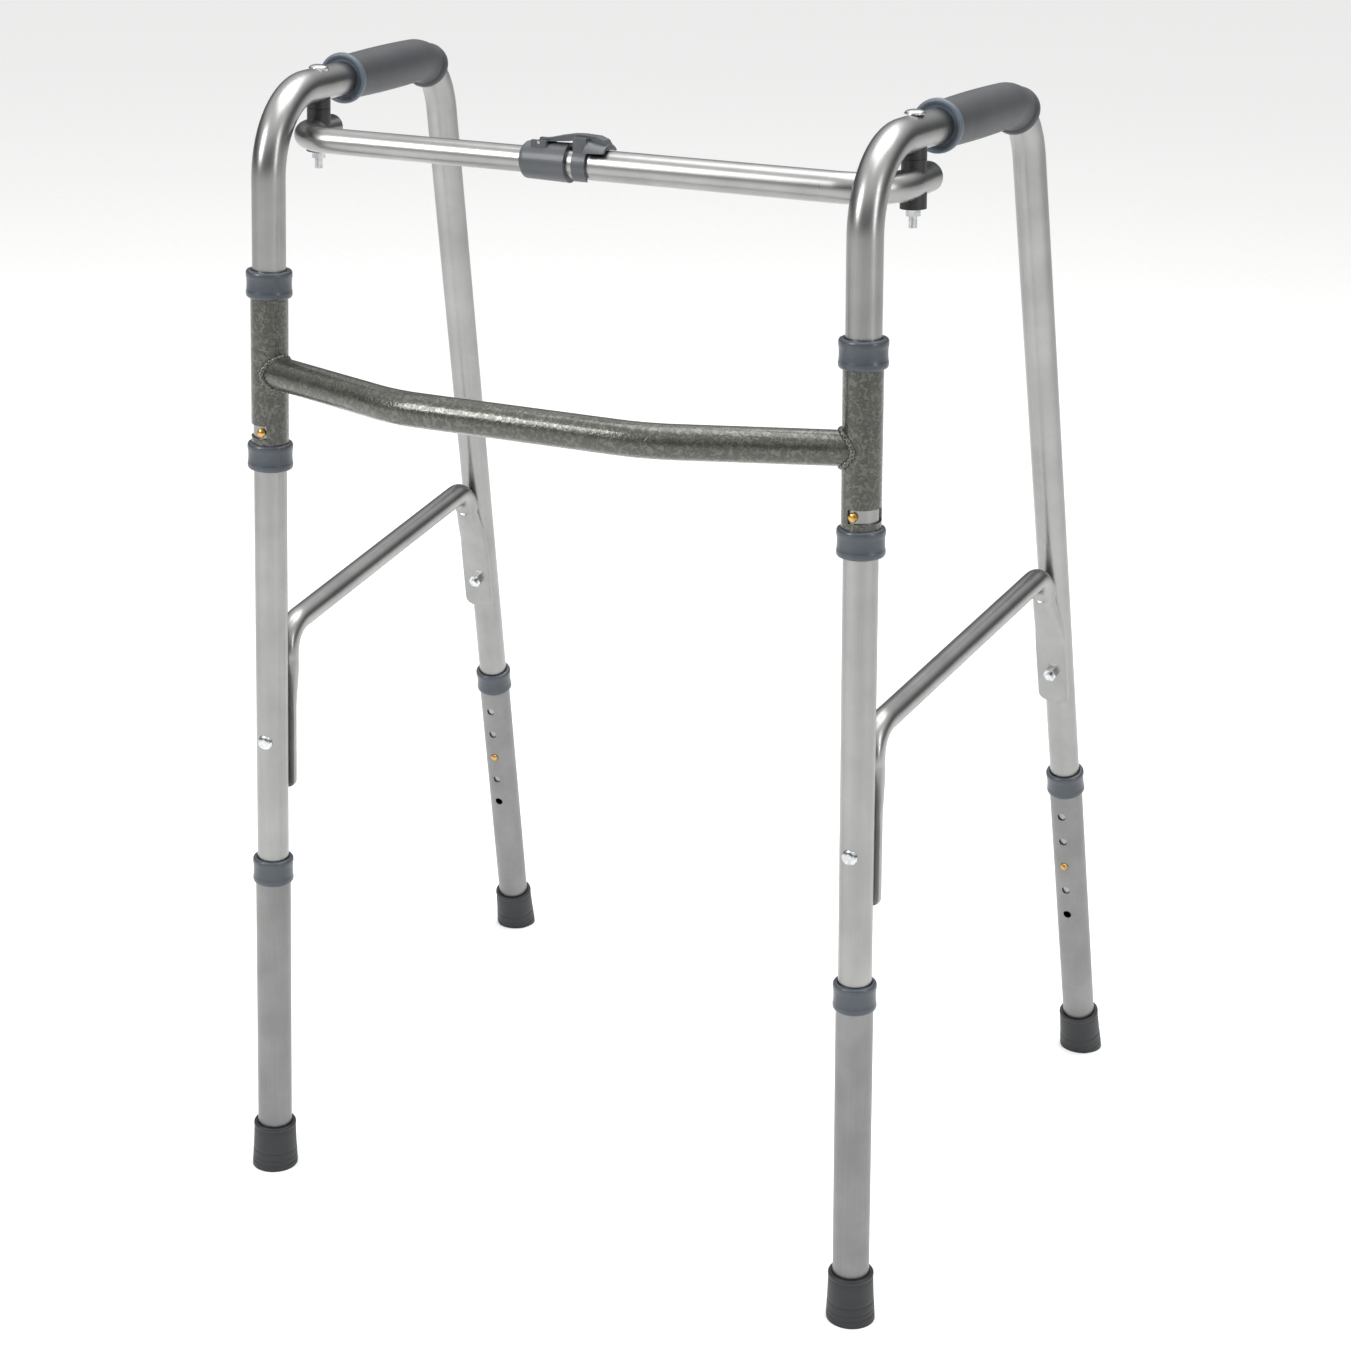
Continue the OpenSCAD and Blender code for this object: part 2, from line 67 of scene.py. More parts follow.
TILT = math.atan(SPLAY / LEG_RISE)
TOE = math.atan(TOE_OUT / TOE_DEPTH)
LEAN = math.atan(LEAN_RATE)
BASE_X = SPACING / 2 + SPLAY


def leg_x(height):
    """Distance of a front leg's axis from the middle, growing evenly from LEG_RISE down to the floor."""
    return SPACING / 2 + SPLAY * (LEG_RISE - height) / LEG_RISE


CROSS_END = leg_x(CROSS_Z)
CROSS_BOW = (CROSS_END - CROSS_HALF) * math.tan(CROSS_TURN)
BACK_SHIFT = -((DEPTH + FOOT) * math.cos(TOE) - (CROSS_BOW + TUBE)) / 2
PIVOT_X = leg_x(BAR_Z) + PIVOT_BACK * math.sin(TOE)
PIVOT_Y = PIVOT_BACK * math.cos(TOE)
SIDES = (("left", -1), ("right", 1))


# ---------- placing: leg coordinates to the row's frame, in metres ----------
def in_row(p, s):
    """Leans the leg outwards by the splay about Y, moves it out to its foot, mirrors the
    left side and goes from millimetres to metres."""
    x, y, z = p[..., 0], p[..., 1], p[..., 2]
    across = BASE_X + x * math.cos(TILT) - z * math.sin(TILT)
    up = x * math.sin(TILT) + z * math.cos(TILT)
    return np.stack([s * across, y + BACK_SHIFT, up], -1) / 1000


def side(s):
    """Side frame coordinates: turned by the toe about Z, then leaned and placed."""
    def place(p):
        x = p[..., 0] * math.cos(TOE) + p[..., 1] * math.sin(TOE)
        y = p[..., 1] * math.cos(TOE) - p[..., 0] * math.sin(TOE)
        return in_row(np.stack([x, y, p[..., 2]], -1), s)
    return place


def leg_point(s, y):
    """Rear leg coordinates (s up the leg, y square to it) turned by the lean about X at
    the rear foot, as side frame coordinates."""
    across = y * math.cos(LEAN) - s * math.sin(LEAN) + DEPTH
    return [0, across, y * math.sin(LEAN) + s * math.cos(LEAN)]


def rear(s):
    """Rear leg coordinates as whole grids: leaned by leg_point, then placed as the side frame."""
    put = side(s)
    def place(p):
        y, z = leg_point(p[..., 2], p[..., 1])[1:]
        return put(np.stack([p[..., 0], y, z], -1))
    return place


def upright(s):
    """Front leg coordinates, without the toe."""
    return lambda p: in_row(p, s)


def level(s):
    """Row directions with the front leg line as y = 0, mirrored for the left side."""
    return lambda p: np.stack([s * p[..., 0], p[..., 1] + BACK_SHIFT, p[..., 2]], -1) / 1000


# ---------- shapes: each gives a grid of points, rows along and columns round ----------
def unit(vector):
    """The vector divided by its length."""
    return vector / np.linalg.norm(vector)


def ease(x):
    """Smooth step 3x^2 - 2x^3 between 0 and 1."""
    x = np.clip(x, 0, 1)
    return x * x * (3 - 2 * x)


def bent_line(corners, radius, gap, turn_gap):
    """Straight runs joined by circular bends. A corner is cut back by radius times tan(half
    its turn), and the arc swings from there by radius times sin(angle) along the run and
    1 - cos(angle) inwards. Straights are stepped by gap, arcs by turn_gap radians."""
    corners = np.array(corners, float)
    points, at = [], corners[0]
    for i in range(1, len(corners)):
        along = unit(corners[i] - corners[i - 1])
        stop = corners[i]
        bends = i < len(corners) - 1
        if bends:
            onward = unit(corners[i + 1] - corners[i])
            turn = math.acos(float(np.clip(along @ onward, -1, 1)))
            cut = radius * math.tan(turn / 2)
            stop = corners[i] - along * cut
        steps = max(2, int(np.linalg.norm(stop - at) / gap) + 1)
        points.append(at + (stop - at) * np.linspace(0, 1, steps)[:, None])
        if bends:
            inward = unit(onward - along * (along @ onward))
            angle = np.linspace(0, turn, max(4, int(turn / turn_gap) + 1))[1:-1, None]
            points.append(stop + radius * (np.sin(angle) * along + (1 - np.cos(angle)) * inward))
            at = corners[i] + onward * cut
    return np.vstack(points)


def resampled(path, distances):
    """The path's points at these distances along it, by straight lines between its own points."""
    steps = np.linalg.norm(np.diff(path, axis=0), axis=1)
    along = np.concatenate([[0], np.cumsum(steps)])
    return np.stack([np.interp(distances, along, path[:, k]) for k in range(3)], -1)


def swept(path, wide, square=2.0, across=(1, 0, 0), thick=None, cols=44):
    """A section carried along a path in one plane. The section is |x/wide|^p + |y/thick|^p
    = 1 with p = square, a circle at p = 2 and a rounded bar above it. x runs along across,
    the direction out of the path's plane, and y is square to both it and the path."""
    rows = len(path)
    across = np.array(across, float)
    wide = np.broadcast_to(wide, (rows,))
    thick = wide if thick is None else np.broadcast_to(thick, (rows,))
    power = 2 / np.broadcast_to(square, (rows,))[:, None]
    along = np.gradient(path, axis=0)
    along /= np.linalg.norm(along, axis=1)[:, None]
    other = np.cross(across, along)
    angle = np.linspace(0, 2 * math.pi, cols, endpoint=False)[None, :]
    cos, sin = np.cos(angle), np.sin(angle)
    x = np.sign(cos) * np.abs(cos) ** power * wide[:, None]
    y = np.sign(sin) * np.abs(sin) ** power * thick[:, None]
    return path[:, None, :] + x[..., None] * across + y[..., None] * other[:, None, :]


def pipe(path, outer, inner, cols=44):
    """A hollow tube: the outer wall going up the path and the inner wall coming back, as
    one closed ring of rows."""
    return np.vstack([swept(path, outer, cols=cols), swept(path, inner, cols=cols)[::-1]])


def turned(profile, cols, cuts):
    """A lathe shape: the profile's (radius, height) points swing about Z. Each cut rounds
    the profile: between two neighbours it keeps the points a fifth and four fifths of the
    way, and the two end points stay."""
    q = np.array(profile, float)
    for _ in range(cuts):
        kept = np.stack([0.8 * q[:-1] + 0.2 * q[1:], 0.2 * q[:-1] + 0.8 * q[1:]], 1)
        q = np.vstack([q[:1], kept.reshape(-1, 2), q[-1:]])
    angle = np.linspace(0, 2 * math.pi, cols, endpoint=False)
    radius, height = q[:, :1], q[:, 1:]
    return np.stack([radius * np.cos(angle), radius * np.sin(angle), height + 0 * angle], -1)


def outward(grid, ring):
    """Reverses the grid's columns if the closed shape's volume is below zero. Its sign is
    that of the sum, over the quads, of their middle dotted with their area."""
    rows = np.vstack([grid, grid[:1]]) if ring else grid
    a, b = rows[:-1], rows[1:]
    c, d = np.roll(b, -1, 1), np.roll(a, -1, 1)
    middle = (a + b + c + d) / 4 - grid.reshape(-1, 3).mean(0)
    return grid[:, ::-1] if (middle * np.cross(c - a, d - b)).sum() < 0 else grid


MERGE = 2e-6  # metres: points closer than this are one, which closes poles


def make(name, grid, body, slot, replaces=(), ring=False, sharp=38, finish=None):
    """One mesh from a grid in metres. Each quad joins two rows and two neighbouring columns.
    A ring also joins the last row to the first, else one face closes each end row. Edges
    over sharp degrees stay crisp."""
    grid = outward(grid, ring)
    rows, cols = grid.shape[:2]
    row, col = np.meshgrid(np.arange(rows if ring else rows - 1), np.arange(cols), indexing="ij")
    next_row, next_col = (row + 1) % rows, (col + 1) % cols
    quads = [row * cols + col, next_row * cols + col, next_row * cols + next_col, row * cols + next_col]
    faces = np.stack(quads, -1).reshape(-1, 4).tolist()
    if not ring:
        faces += [list(range(cols)), list(range((rows - 1) * cols, rows * cols))[::-1]]
    mesh = bpy.data.meshes.new(name)
    mesh.from_pydata(grid.reshape(-1, 3).tolist(), [], faces)
    work = bmesh.new()
    work.from_mesh(mesh)
    bmesh.ops.remove_doubles(work, verts=work.verts, dist=MERGE)
    bmesh.ops.recalc_face_normals(work, faces=work.faces)
    work.to_mesh(mesh)
    work.free()
    mesh.polygons.foreach_set("use_smooth", [True] * len(mesh.polygons))
    mesh.set_sharp_from_angle(angle=math.radians(sharp))
    mesh.materials.append(finish or FINISH[slot])
    obj = bpy.data.objects.new(name, mesh)
    scene.collection.objects.link(obj)
    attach(obj, body)
    if replaces:
        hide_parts(*replaces)


# ---------- materials ----------
def linear(code):
    """sRGB hex to linear: c/12.92 up to 0.04045, else ((c + 0.055)/1.055)^2.4."""
    c = [int(code[i:i + 2], 16) / 255 for i in (1, 3, 5)]
    return tuple(v / 12.92 if v <= 0.04045 else ((v + 0.055) / 1.055) ** 2.4 for v in c) + (1.0,)


def add(tree, kind, inputs=(), out=0, stops=(), **settings):
    """Adds one node with its settings. Each named input takes a socket or a value, stops
    are a colour ramp's (position, hex) pairs, and out picks the output that is returned."""
    node = tree.nodes.new(kind)
    for key, value in settings.items():
        setattr(node, key, value)
    for name, value in dict(inputs).items():
        if isinstance(value, bpy.types.NodeSocket):
            tree.links.new(value, node.inputs[name])
        else:
            node.inputs[name].default_value = value
    if stops:
        ramp = node.color_ramp.elements
        ramp[0].position, ramp[1].position = stops[0][0], stops[-1][0]
        ramp[0].color, ramp[1].color = linear(stops[0][1]), linear(stops[-1][1])
        for position, code in stops[1:-1]:
            ramp.new(position).color = linear(code)
    return node.outputs[out]


def new_material(name, **sockets):
    """A material with uniform values on its shader, its node tree, the shader and the
    piece's own coordinates in metres."""
    material = bpy.data.materials.new(name)
    material.use_nodes = True
    tree = material.node_tree
    shader = tree.nodes["Principled BSDF"]
    for key, value in sockets.items():
        shader.inputs[key.replace("_", " ")].default_value = value
    return material, tree, shader, add(tree, "ShaderNodeTexCoord", out="Object")


def feed(tree, shader, colour, rough, normal):
    """Joins the patterns to the shader's colour, roughness and normal."""
    for name, socket in (("Base Color", colour), ("Roughness", rough), ("Normal", normal)):
        tree.links.new(socket, shader.inputs[name])


def drawn_aluminium(name, light, dark, rough, streak=0.05):
    """Drawn, satin-etched and clear-anodised aluminium tube: a soft even sheen, faint long
    die lines down the tube, cloudy etch and a few rubbed spots."""
    m, t, shader, place = new_material(name, Metallic=1.0)
    # die lines 0.8 mm apart and 125 mm long, drawn coarser than real so that they show
    down = add(t, "ShaderNodeMapping", {"Vector": place, "Scale": (1250.0, 1250.0, 8.0)})
    lines = add(t, "ShaderNodeTexNoise", {"Vector": down, "Scale": 1.0, "Detail": 2.0})
    # etch clouds 38 mm across and grains 0.7 mm
    cloud = add(t, "ShaderNodeTexNoise", {"Vector": place, "Scale": 26.0, "Detail": 3.0})
    grain = add(t, "ShaderNodeTexNoise", {"Vector": place, "Scale": 1400.0, "Detail": 2.0})
    # handling scuffs, sparse, 3 mm wide and 17 mm long
    aslant = add(t, "ShaderNodeMapping",
                 {"Vector": place, "Scale": (300.0, 300.0, 60.0), "Rotation": (0.5, 0.3, 0.0)})
    scuff = add(t, "ShaderNodeTexNoise", {"Vector": aslant, "Scale": 1.0, "Detail": 4.0})
    scuffed = add(t, "ShaderNodeMapRange", {"Value": scuff, "From Min": 0.68, "From Max": 0.8})
    streaks = add(t, "ShaderNodeMapRange", {"Value": lines, "To Min": -2 * streak, "To Max": 2 * streak})
    tone = add(t, "ShaderNodeMath", {0: cloud, 1: streaks}, operation="ADD")
    colour = add(t, "ShaderNodeValToRGB", {"Fac": tone}, stops=[(0.3, dark), (0.7, light)])
    matt = add(t, "ShaderNodeMapRange", {"Value": grain, "To Min": rough - 0.05, "To Max": rough + 0.06})
    rubbed = add(t, "ShaderNodeMapRange", {"Value": scuffed, "To Min": 0.0, "To Max": -0.09})
    roughness = add(t, "ShaderNodeMath", {0: matt, 1: rubbed}, operation="ADD")
    die_bump = add(t, "ShaderNodeBump", {"Height": lines, "Distance": 0.012 / 1000, "Strength": 0.5})
    bump = add(t, "ShaderNodeBump",
               {"Height": grain, "Distance": 0.02 / 1000, "Strength": 0.5, "Normal": die_bump})
    feed(t, shader, colour, roughness, bump)
    return m


def hammered_paint():
    """Dark grey hammer-finish enamel baked on steel: shallow round dimples a few millimetres
    across with raised seams, under a glossy skin with fine metal flake. The colour follows the
    dimple height as painted light: painted shade down the dimples' sides and a painted
    highlight on the raised seams."""
    m, t, shader, place = new_material(
        "hammer finish enamel on steel", Metallic=0.55, Coat_Weight=0.55, Coat_Roughness=0.14)
    # the paint's edges wander over 5 mm
    wobble = add(t, "ShaderNodeTexNoise", {"Vector": place, "Scale": 190.0, "Detail": 2.0}, out="Color")
    shifted = add(t, "ShaderNodeMix", {"Factor": 0.006, 6: place, 7: wobble}, out=2,
                  data_type="RGBA", blend_type="LINEAR_LIGHT")
    # dimples 2.5 mm across, stretched down the way the wet paint ran
    stretched = add(t, "ShaderNodeMapping", {"Vector": shifted, "Scale": (1.0, 1.0, 0.75)})
    cell = add(t, "ShaderNodeTexVoronoi", {"Vector": stretched, "Scale": 400.0, "Randomness": 1.0},
               feature="SMOOTH_F1")
    dimple = add(t, "ShaderNodeMapRange", {"Value": cell, "From Min": 0.05, "From Max": 0.62})
    # flake 0.6 mm across, coarser than real so that it shows
    flake = add(t, "ShaderNodeTexNoise", {"Vector": place, "Scale": 1800.0, "Detail": 2.0})
    glint = add(t, "ShaderNodeMapRange", {"Value": flake, "To Min": -0.18, "To Max": 0.18})
    tone = add(t, "ShaderNodeMath", {0: dimple, 1: glint}, operation="ADD")
    # painted light: the colour follows the dimple height, darkest down the dimples' sides as painted shade
    # and lightest on the raised seams as a painted highlight
    colour = add(t, "ShaderNodeValToRGB", {"Fac": tone},
                 stops=[(0.1, "#45453f"), (0.55, "#3c3c37"), (1.0, "#5b5b53")])
    roughness = add(t, "ShaderNodeMapRange", {"Value": tone, "To Min": 0.42, "To Max": 0.27})
    bump = add(t, "ShaderNodeBump", {"Height": dimple, "Distance": 0.3 / 1000, "Strength": 0.7})
    feed(t, shader, colour, roughness, bump)
    return m


def moulded(name, base, high, rough, grain_mm, depth_mm, sheen=0.0, coat=0.0):
    """Injection-moulded or dipped plastic and rubber: a fine even mould grain, a slight
    colour drift over 22 mm, and roughness that follows the grain."""
    m, t, shader, place = new_material(name, IOR=1.5, Sheen_Weight=sheen, Coat_Weight=coat)
    grain = add(t, "ShaderNodeTexNoise", {"Vector": place, "Scale": 1000.0 / grain_mm, "Detail": 3.0})
    drift = add(t, "ShaderNodeTexNoise", {"Vector": place, "Scale": 45.0, "Detail": 2.0})
    drifted = add(t, "ShaderNodeMapRange", {"Value": drift, "To Min": 0.1, "To Max": 0.9})
    speck = add(t, "ShaderNodeMapRange", {"Value": grain, "To Min": -0.2, "To Max": 0.2})
    tone = add(t, "ShaderNodeMath", {0: drifted, 1: speck}, operation="ADD")
    colour = add(t, "ShaderNodeValToRGB", {"Fac": tone}, stops=[(0.2, base), (0.8, high)])
    roughness = add(t, "ShaderNodeMapRange",
                    {"Value": grain, "To Min": rough - 0.07, "To Max": rough + 0.09})
    bump = add(t, "ShaderNodeBump", {"Height": grain, "Distance": depth_mm / 1000, "Strength": 0.6})
    feed(t, shader, colour, roughness, bump)
    return m


def plated(name, base, high, rough):
    """Small turned and plated metal: bright, with faint machining marks 1.1 mm apart and a
    little tarnish in patches of 4 mm."""
    m, t, shader, place = new_material(name, Metallic=1.0)
    marks = add(t, "ShaderNodeTexNoise", {"Vector": place, "Scale": 900.0, "Detail": 3.0})
    stain = add(t, "ShaderNodeTexNoise", {"Vector": place, "Scale": 260.0, "Detail": 3.0})
    colour = add(t, "ShaderNodeValToRGB", {"Fac": stain}, stops=[(0.35, base), (0.65, high)])
    roughness = add(t, "ShaderNodeMapRange",
                    {"Value": marks, "To Min": rough - 0.06, "To Max": rough + 0.1})
    bump = add(t, "ShaderNodeBump", {"Height": marks, "Distance": 0.02 / 1000, "Strength": 0.4})
    feed(t, shader, colour, roughness, bump)
    return m


FINISH = {
    "satin_aluminium": drawn_aluminium("satin anodised aluminium", "#9d9d9c", "#90908f", 0.31),
    "extension_aluminium": drawn_aluminium("matt anodised aluminium", "#878787", "#797979", 0.4, 0.08),
    "hammer_paint": hammered_paint(),
    "collar_plastic": moulded("blue-grey polypropylene", "#343a41", "#40474f", 0.36, 0.9, 0.03, coat=0.15),
    "grip_vinyl": moulded("dipped vinyl", "#26282b", "#33363a", 0.52, 0.8, 0.12, sheen=0.08),
    "ferrule_rubber": moulded("moulded rubber", "#15181b", "#1f2327", 0.5, 0.9, 0.06),
    "button_brass": plated("brass", "#a97f3d", "#cfa764", 0.26),
    "spring_steel": plated("spring steel", "#8b8d90", "#a4a6a9", 0.3),
    "zinc_steel": plated("bright zinc plated steel", "#b4b6b8", "#d3d5d6", 0.2),
    "clip_plastic": moulded("grey nylon", "#3c3f42", "#4b4e52", 0.42, 1.1, 0.05, coat=0.1),
    "black_plastic": moulded("black nylon", "#101112", "#1b1d1e", 0.45, 1.0, 0.04),
}
GRIP_RIM = moulded("blue-grey vinyl rim", "#4a525b", "#59626c", 0.42, 0.9, 0.05)

for entry in frame["record"]["subparts"]:
    mesh = frame["nodes"][entry["node"]].data
    mesh.materials.clear()
    mesh.materials.append(FINISH[entry["material_slot"]])


# ---------- side frames ----------
TOP_CORNER = [0, 0, TOP]
REAR_CORNER = [0, DEPTH - LEAN_RATE * TOP, TOP]
side_corners = [[0, 0, FRONT_BUTTON - BELOW_BUTTON], TOP_CORNER, REAR_CORNER,
                leg_point(REAR_BUTTON - BELOW_BUTTON, 0)]
side_tube = pipe(bent_line(side_corners, BEND, 7.0, 0.07), TUBE, TUBE - TUBE_WALL)
for name, s in SIDES:
    make("side_frame_tube_" + name, side(s)(side_tube), name + "_frame", "satin_aluminium",
         ["side_tube_" + name], ring=True)

# ---------- grips ----------
GRIP_START = 117.0  # front face of the grip, behind the front leg axis
TOP_RUN_END = 243.8  # where the top run meets its rear bend
GRIP_WRAP = math.radians(30)  # how far the grip goes round that bend
GRIP_END = TOP_RUN_END - GRIP_START + GRIP_WRAP * BEND + 1.4  # its length, 1.4 mm past the wrap
GRIP_BODY = 5.5  # the body begins this far behind the front face, inside the rim


def grip():
    """The vinyl body, by its radius along the tube. It starts inside the rim at 17.4 mm and
    falls evenly to 16.5. Behind that it is 16.5 plus 1.1 times a half sine wave to the
    power 0.8 under the palm, plus an even rise of 0.3. Near the end a bell curve of the
    fourth power swells it to 18.5, and a quarter circle of 2.4 mm rounds the edge."""
    lead = 30  # the path starts this far ahead of the grip
    path = bent_line([[0, GRIP_START - lead, TOP], REAR_CORNER, leg_point(500, 0)], BEND, 3.0, 0.03)
    at = np.concatenate([np.linspace(GRIP_BODY, 16, 8), np.linspace(18, GRIP_END - 12, 60),
                         np.linspace(GRIP_END - 11, GRIP_END, 22)])
    share = (at - GRIP_BODY) / (GRIP_END - GRIP_BODY)
    body = 16.5 + 1.1 * np.sin(np.clip(share * 1.15, 0, 1) * math.pi) ** 0.8 + 0.3 * share
    bead = np.exp(-((at - (GRIP_END - 4.6)) / 4.2) ** 4) * (18.5 - body)
    radius = body + np.clip(bead, 0, None)
    edge = 2.4
    rounded = np.sqrt(np.clip(edge ** 2 - (at - GRIP_END + edge) ** 2, 0, None))
    radius = np.where(at > GRIP_END - edge, radius - edge + rounded, radius)
    radius = np.where(at < 9, 17.4 - 0.9 * (at - GRIP_BODY) / 3.5, radius)
    return pipe(resampled(path, at + lead), radius, TUBE + 0.05, cols=56)


def grip_rim():
    """The flange at the grip's front face, turned about the top run."""
    profile = [(12.75, 2.6), (14.6, 2.2), (16.2, 0.7), (17.4, 0.0), (18.7, 0.5), (19.4, 1.8), (19.5, 4.2),
               (18.9, 6.2), (17.5, 7.2), (15.0, 7.4), (12.75, 7.4)]
    rim = turned(profile, 64, 2)
    return np.stack([rim[..., 0], rim[..., 2] + GRIP_START, rim[..., 1] + TOP], -1)


for name, s in SIDES:
    make("hand_grip_" + name, side(s)(grip()), name + "_frame", "grip_vinyl", ["grip_" + name], ring=True)
    make("grip_rim_" + name, side(s)(grip_rim()), name + "_frame", "grip_vinyl", ring=True, finish=GRIP_RIM)

# ---------- front brace ----------
cross_corners = [[-CROSS_END, 0, CROSS_Z], [-CROSS_HALF, -CROSS_BOW, CROSS_Z],
                 [CROSS_HALF, -CROSS_BOW, CROSS_Z], [CROSS_END, 0, CROSS_Z]]
cross_line = bent_line(cross_corners, 120.0, 5.0, 0.04)
# the ends stop inside the sleeves
cross_line = cross_line[np.abs(cross_line[:, 0]) < CROSS_END - 4.0]
make("front_crossbar", level(1)(swept(cross_line, TUBE, across=(0, 0, 1), cols=48)), "front_brace",
     "hammer_paint", ["brace_crossbar"])


def weld_bead():
    """A rippled ring where the crossbar enters the sleeve. At v across the crossbar, its
    surface meets the sleeve sqrt(SLEEVE^2 - v^2) from the sleeve's axis, and the bead's
    radius is 2.3 mm with two waves of 24 and 7 ripples round it."""
    angle = np.linspace(0, 2 * math.pi, 150, endpoint=False)
    v, w = TUBE * np.sin(angle), TUBE * np.cos(angle)
    reach = np.sqrt(SLEEVE ** 2 - v ** 2) + 0.2
    d = np.array([math.cos(CROSS_TURN), math.sin(CROSS_TURN)])
    across = np.array([-d[1], d[0]])
    axis_x = BASE_X - (CROSS_Z + w) * math.tan(TILT)
    line = np.stack([axis_x - d[0] * reach + across[0] * v, -d[1] * reach + across[1] * v, CROSS_Z + w], -1)
    radius = 2.3 + 0.35 * np.sin(angle * 24) + 0.2 * np.sin(angle * 7)
    along = np.roll(line, -1, 0) - np.roll(line, 1, 0)
    along /= np.linalg.norm(along, axis=1)[:, None]
    out = np.stack([-d[0] + 0 * angle, -d[1] + 0 * angle, 0 * angle], -1)
    out -= along * (out * along).sum(1)[:, None]
    out /= np.linalg.norm(out, axis=1)[:, None]
    other = np.cross(along, out)
    turn = np.linspace(0, 2 * math.pi, 14, endpoint=False)[None, :, None]
    ripple = np.cos(turn) * out[:, None] + np.sin(turn) * other[:, None]
    return line[:, None] + radius[:, None, None] * ripple


for name, s in SIDES:
    make("weld_bead_" + name, level(s)(weld_bead()), "front_brace", "hammer_paint", ring=True, sharp=80)

# ---------- collars and feet ----------
BRACE_COLLARS = (("upper", 762, 1), ("lower", 628, -1))  # middle height, and which way is up
BRACE_COLLAR_HEIGHT = 21
LEG_COLLAR_HEIGHT = 22
COLLAR_OVER_BUTTON = 85.4  # middle of a leg collar above its height button


def collar(outside, height, big_bore, small_bore, lip):
    """Moulded collar: two rounded rims with a shallow waist between them, and an inner lip
    at the top that runs on the tube. outside is a diameter and the bores are radii."""
    o = outside / 2
    big = big_bore + 0.05
    return turned([(big, 0.0), (o - 2.2, 0.0), (o - 0.7, 0.5), (o, 1.9), (o, 4.6), (o - 0.35, 6.0),
                   (o - 0.55, height * 0.42), (o - 0.55, height * 0.58), (o - 0.35, height - 6.0),
                   (o, height - 4.6), (o, height - 1.9), (o - 0.7, height - 0.5), (o - 2.2, height),
                   (small_bore + 0.5, height), (small_bore, height - 0.8), (small_bore, height - lip),
                   (big, height - lip)], 72, 2)


def rubber_foot():
    """Ferrule: tread rim, three shallow ribs and a tapering sleeve with a rolled lip."""
    return turned([(0.0, -8.0), (14.0, -8.0), (18.2, -7.4), (19.0, -6.0), (19.0, 4.6), (18.75, 5.4),
                   (18.4, 5.8), (18.75, 6.4), (18.7, 9.6), (18.3, 10.2), (18.6, 10.8), (18.35, 16.0),
                   (17.95, 16.6), (18.2, 17.2), (17.55, 36.6), (17.3, 37.2), (17.75, 38.0), (17.85, 39.6),
                   (17.2, 40.9), (16.0, 41.0), (14.25, 40.6), (14.25, 36.0), (0.0, 36.0)], 72, 1)


for name, s in SIDES:
    for end, middle, way in BRACE_COLLARS:
        ring = collar(35, BRACE_COLLAR_HEIGHT, 14.3, 12.85, 5.5)
        ring[..., 2] = middle - way * BRACE_COLLAR_HEIGHT / 2 + way * ring[..., 2]
        piece = "brace_collar_%s_%s" % (end, name)
        make(piece, upright(s)(ring), "front_brace", "collar_plastic", [piece], ring=True)
    for end, place, button in (("front", side(s), FRONT_BUTTON), ("rear", rear(s), REAR_BUTTON)):
        which = "%s_%s" % (end, name)
        ring = collar(33, LEG_COLLAR_HEIGHT, 14.2, 12.85, 6)
        ring[..., 2] += button + COLLAR_OVER_BUTTON - LEG_COLLAR_HEIGHT / 2
        make("leg_collar_" + which, place(ring), "leg_" + which, "collar_plastic",
             ["extension_collar_" + which], ring=True)
        foot = place(rubber_foot())
        # worn flat on the floor
        foot[..., 2] = np.maximum(foot[..., 2], 0.0)
        make("rubber_foot_" + which, foot, "leg_" + which, "ferrule_rubber", ["ferrule_" + which])

# ---------- side braces ----------
BRACE_RISE = math.radians(4.349)  # slope of the run up to the rear
BRACE_BEND = 26.0
BRACE_RUN = 298
BRACE_TUBE = 9.5  # radius of the round part
BRACE_CENTRE = np.array([49.0, 454.0])  # centre of the front bend: y, z
TONGUE_OFF = 14.8  # tongue centre line from the leg's axis
TONGUE_WIDE = 13.4  # half its width
TONGUE_THICK = 2.05  # half its thickness
SLIDE = 44  # length over which the centre line leaves the leg
FLARE = 58  # length over which the section goes from flat to round
BEND_STEPS = 24


